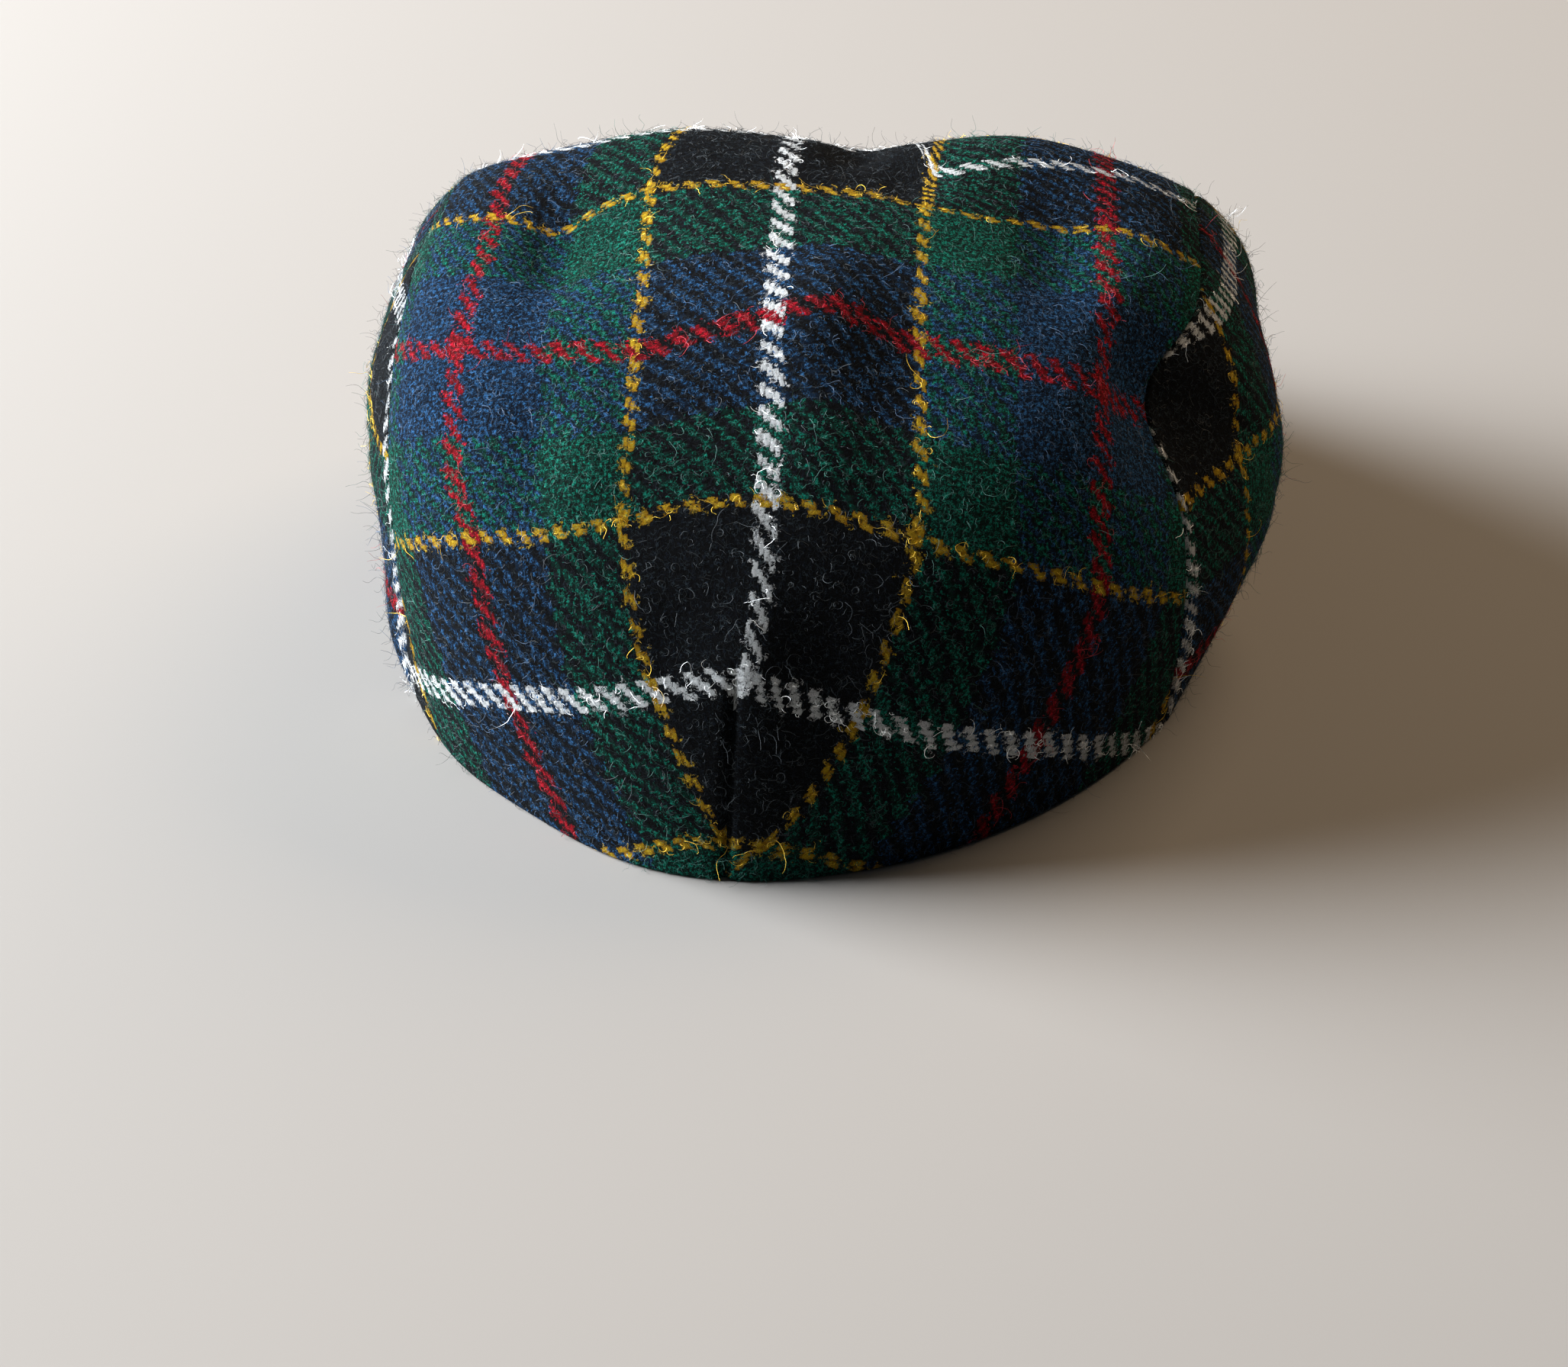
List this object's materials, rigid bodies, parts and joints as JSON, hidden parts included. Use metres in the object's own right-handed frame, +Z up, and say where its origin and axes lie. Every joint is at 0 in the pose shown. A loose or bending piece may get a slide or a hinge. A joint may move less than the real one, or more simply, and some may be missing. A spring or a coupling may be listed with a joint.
{
  "type": "flat cap",
  "caption": "Soft flat cap of checked wool cloth with a dart at the back, two side panels and a short stiff peak.",
  "frame": {"origin": "on the resting surface, under the middle of the cap", "axes": "+Y to the front, where the peak is, +X to the wearer's right, +Z up through the crown"},
  "size_m": [0.1986, 0.2555, 0.1049],
  "materials": {
    "cloth_top": "fuzzy wool twill in a dark green, navy and black check with white, yellow and red lines",
    "cloth_left": "the same wool twill",
    "cloth_right": "the same wool twill",
    "cloth_peak": "the same wool twill over a stiff board"
  },
  "bodies": {
    "root": {"top_panel": "cloth_top", "side_panel_left": "cloth_left", "side_panel_right": "cloth_right", "peak": "cloth_peak"}
  },
  "joints": []
}
